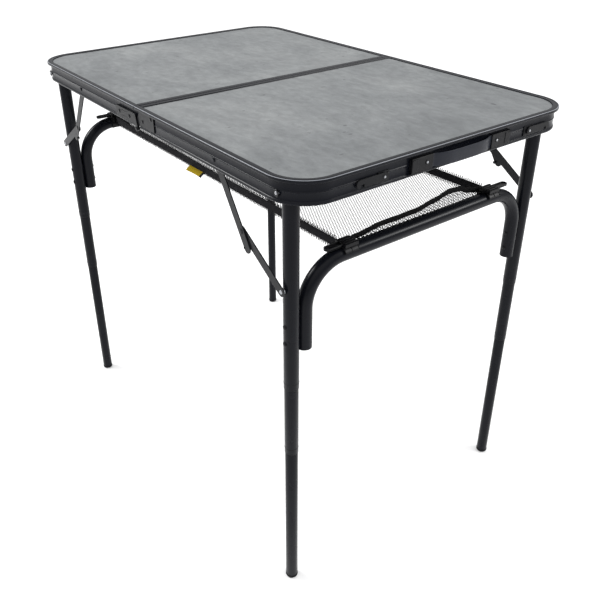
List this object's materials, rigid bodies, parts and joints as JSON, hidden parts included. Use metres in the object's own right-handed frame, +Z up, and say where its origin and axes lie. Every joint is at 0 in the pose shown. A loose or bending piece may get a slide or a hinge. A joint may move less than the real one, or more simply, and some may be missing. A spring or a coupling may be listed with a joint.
{
  "type": "folding camp kitchen table",
  "caption": "Folding camp kitchen table: a hinged concrete-look top in a black aluminium rim, telescopic folding legs with knee braces, a mesh shelf, arched tubes, a handle and latches.",
  "frame": {"origin": "on the floor, midway between the four feet", "axes": "+X to the carrying handle, +Y to the right long side seen from the handle's middle looking back over the table, +Z up; X is the length, Y the width"},
  "size_m": [0.9071, 0.6, 0.8],
  "materials": {
    "concrete_top": "matt concrete-look laminate",
    "frame": "satin black powder coat",
    "tube": "satin black powder coat",
    "steel": "bright zinc plated",
    "dark_steel": "black coated",
    "nylon": "black moulded",
    "rubber": "matt black",
    "webbing": "black woven",
    "mesh": "black open mesh",
    "label": "yellow woven label"
  },
  "bodies": {
    "handle_half": {"top_panel_handle_half": "concrete_top", "rim_frame_handle_half": "frame", "seam_strip_handle_half": "frame", "handle_strap": "rubber", "handle_bracket_left": "nylon", "handle_bracket_right": "nylon", "latch_base_left": "steel", "latch_base_right": "steel", "hinge_leaf_handle_half_left": "dark_steel", "hinge_leaf_handle_half_right": "dark_steel", "hinge_pin_left": "steel", "hinge_pin_right": "steel", "leg_pivot_stud_handle_half_left": "steel", "leg_pivot_stud_handle_half_right": "steel", "shelf_mesh_floor": "mesh", "shelf_webbing_left": "webbing", "shelf_webbing_right": "webbing", "shelf_end_wall_handle_half": "webbing", "shelf_end_wall_far_half": "webbing", "shelf_label_tag": "label"},
    "far_half": {"top_panel_far_half": "concrete_top", "rim_frame_far_half": "frame", "seam_strip_far_half": "frame", "hinge_leaf_far_half_left": "dark_steel", "hinge_leaf_far_half_right": "dark_steel", "leg_pivot_stud_far_half_left": "steel", "leg_pivot_stud_far_half_right": "steel"},
    "leg_frame_handle_half": {"upper_leg_handle_half_left": "tube", "upper_leg_handle_half_right": "tube", "arch_tube_handle_half": "tube", "shelf_clip_handle_half_left": "nylon", "shelf_clip_handle_half_right": "nylon"},
    "middle_section_handle_half_left": {"middle_leg_handle_half_left": "tube"},
    "lower_section_handle_half_left": {"lower_leg_handle_half_left": "tube", "foot_cap_handle_half_left": "rubber"},
    "upper_brace_handle_half_left": {"upper_brace_handle_half_left": "dark_steel"},
    "lower_brace_handle_half_left": {"lower_brace_handle_half_left": "dark_steel"},
    "middle_section_handle_half_right": {"middle_leg_handle_half_right": "tube"},
    "lower_section_handle_half_right": {"lower_leg_handle_half_right": "tube", "foot_cap_handle_half_right": "rubber"},
    "upper_brace_handle_half_right": {"upper_brace_handle_half_right": "dark_steel"},
    "lower_brace_handle_half_right": {"lower_brace_handle_half_right": "dark_steel"},
    "leg_frame_far_half": {"upper_leg_far_half_left": "tube", "upper_leg_far_half_right": "tube", "arch_tube_far_half": "tube", "shelf_clip_far_half_left": "nylon", "shelf_clip_far_half_right": "nylon"},
    "middle_section_far_half_left": {"middle_leg_far_half_left": "tube"},
    "lower_section_far_half_left": {"lower_leg_far_half_left": "tube", "foot_cap_far_half_left": "rubber"},
    "upper_brace_far_half_left": {"upper_brace_far_half_left": "dark_steel"},
    "lower_brace_far_half_left": {"lower_brace_far_half_left": "dark_steel"},
    "middle_section_far_half_right": {"middle_leg_far_half_right": "tube"},
    "lower_section_far_half_right": {"lower_leg_far_half_right": "tube", "foot_cap_far_half_right": "rubber"},
    "upper_brace_far_half_right": {"upper_brace_far_half_right": "dark_steel"},
    "lower_brace_far_half_right": {"lower_brace_far_half_right": "dark_steel"},
    "latch_left": {"latch_lever_left": "dark_steel"},
    "latch_right": {"latch_lever_right": "dark_steel"}
  },
  "joints": [
    {"name": "top_fold", "type": "hinge", "parent": "handle_half", "child": "far_half", "pos_m": [0, 0, 0.761], "axis": [0, -1, 0], "range_deg": [0, 50], "deforming": ["shelf_mesh_floor", "shelf_label_tag"]},
    {"name": "leg_fold_handle_half", "type": "hinge", "parent": "handle_half", "child": "leg_frame_handle_half", "pos_m": [0.4, 0, 0.776], "axis": [0, 1, 0], "range_deg": [0, 90], "deforming": ["shelf_webbing_left", "shelf_end_wall_handle_half"]},
    {"name": "leg_middle_slide_handle_half_left", "type": "slide", "parent": "leg_frame_handle_half", "child": "middle_section_handle_half_left", "axis": [0, 0, 1], "range_m": [0, 0.13]},
    {"name": "leg_lower_slide_handle_half_left", "type": "slide", "parent": "middle_section_handle_half_left", "child": "lower_section_handle_half_left", "axis": [0, 0, 1], "range_m": [0, 0.28]},
    {"name": "upper_brace_turn_handle_half_left", "type": "hinge", "parent": "handle_half", "child": "upper_brace_handle_half_left", "pos_m": [0.244, -0.2895, 0.776], "axis": [0, 1, 0], "range_deg": [0, 122.8]},
    {"name": "lower_brace_turn_handle_half_left", "type": "hinge", "parent": "upper_brace_handle_half_left", "child": "lower_brace_handle_half_left", "pos_m": [0.305, -0.287, 0.681], "axis": [0, 1, 0], "range_deg": [-155.5, 0]},
    {"name": "leg_middle_slide_handle_half_right", "type": "slide", "parent": "leg_frame_handle_half", "child": "middle_section_handle_half_right", "axis": [0, 0, 1], "range_m": [0, 0.13]},
    {"name": "leg_lower_slide_handle_half_right", "type": "slide", "parent": "middle_section_handle_half_right", "child": "lower_section_handle_half_right", "axis": [0, 0, 1], "range_m": [0, 0.28]},
    {"name": "upper_brace_turn_handle_half_right", "type": "hinge", "parent": "handle_half", "child": "upper_brace_handle_half_right", "pos_m": [0.244, 0.2895, 0.776], "axis": [0, 1, 0], "range_deg": [0, 122.8]},
    {"name": "lower_brace_turn_handle_half_right", "type": "hinge", "parent": "upper_brace_handle_half_right", "child": "lower_brace_handle_half_right", "pos_m": [0.305, 0.287, 0.681], "axis": [0, 1, 0], "range_deg": [-155.5, 0]},
    {"name": "leg_fold_far_half", "type": "hinge", "parent": "far_half", "child": "leg_frame_far_half", "pos_m": [-0.4, 0, 0.776], "axis": [0, -1, 0], "range_deg": [0, 90], "deforming": ["shelf_webbing_right", "shelf_end_wall_far_half"]},
    {"name": "leg_middle_slide_far_half_left", "type": "slide", "parent": "leg_frame_far_half", "child": "middle_section_far_half_left", "axis": [0, 0, 1], "range_m": [0, 0.13]},
    {"name": "leg_lower_slide_far_half_left", "type": "slide", "parent": "middle_section_far_half_left", "child": "lower_section_far_half_left", "axis": [0, 0, 1], "range_m": [0, 0.28]},
    {"name": "upper_brace_turn_far_half_left", "type": "hinge", "parent": "far_half", "child": "upper_brace_far_half_left", "pos_m": [-0.244, -0.2895, 0.776], "axis": [0, -1, 0], "range_deg": [0, 122.8]},
    {"name": "lower_brace_turn_far_half_left", "type": "hinge", "parent": "upper_brace_far_half_left", "child": "lower_brace_far_half_left", "pos_m": [-0.305, -0.287, 0.681], "axis": [0, -1, 0], "range_deg": [-155.5, 0]},
    {"name": "leg_middle_slide_far_half_right", "type": "slide", "parent": "leg_frame_far_half", "child": "middle_section_far_half_right", "axis": [0, 0, 1], "range_m": [0, 0.13]},
    {"name": "leg_lower_slide_far_half_right", "type": "slide", "parent": "middle_section_far_half_right", "child": "lower_section_far_half_right", "axis": [0, 0, 1], "range_m": [0, 0.28]},
    {"name": "upper_brace_turn_far_half_right", "type": "hinge", "parent": "far_half", "child": "upper_brace_far_half_right", "pos_m": [-0.244, 0.2895, 0.776], "axis": [0, -1, 0], "range_deg": [0, 122.8]},
    {"name": "lower_brace_turn_far_half_right", "type": "hinge", "parent": "upper_brace_far_half_right", "child": "lower_brace_far_half_right", "pos_m": [-0.305, 0.287, 0.681], "axis": [0, -1, 0], "range_deg": [-155.5, 0]},
    {"name": "latch_swing_left", "type": "hinge", "parent": "handle_half", "child": "latch_left", "pos_m": [0.4457, -0.142, 0.777], "axis": [1, 0, 0], "range_deg": [0, 90]},
    {"name": "latch_swing_right", "type": "hinge", "parent": "handle_half", "child": "latch_right", "pos_m": [0.4457, 0.182, 0.777], "axis": [-1, 0, 0], "range_deg": [0, 90]}
  ],
  "couplings": [
    {"joint": "upper_brace_turn_handle_half_left", "follows": "leg_fold_handle_half", "ratio": 1.3634},
    {"joint": "lower_brace_turn_handle_half_left", "follows": "leg_fold_handle_half", "ratio": -1.7269},
    {"joint": "upper_brace_turn_handle_half_right", "follows": "leg_fold_handle_half", "ratio": 1.3634},
    {"joint": "lower_brace_turn_handle_half_right", "follows": "leg_fold_handle_half", "ratio": -1.7269},
    {"joint": "upper_brace_turn_far_half_left", "follows": "leg_fold_far_half", "ratio": 1.3634},
    {"joint": "lower_brace_turn_far_half_left", "follows": "leg_fold_far_half", "ratio": -1.7269},
    {"joint": "upper_brace_turn_far_half_right", "follows": "leg_fold_far_half", "ratio": 1.3634},
    {"joint": "lower_brace_turn_far_half_right", "follows": "leg_fold_far_half", "ratio": -1.7269}
  ]
}
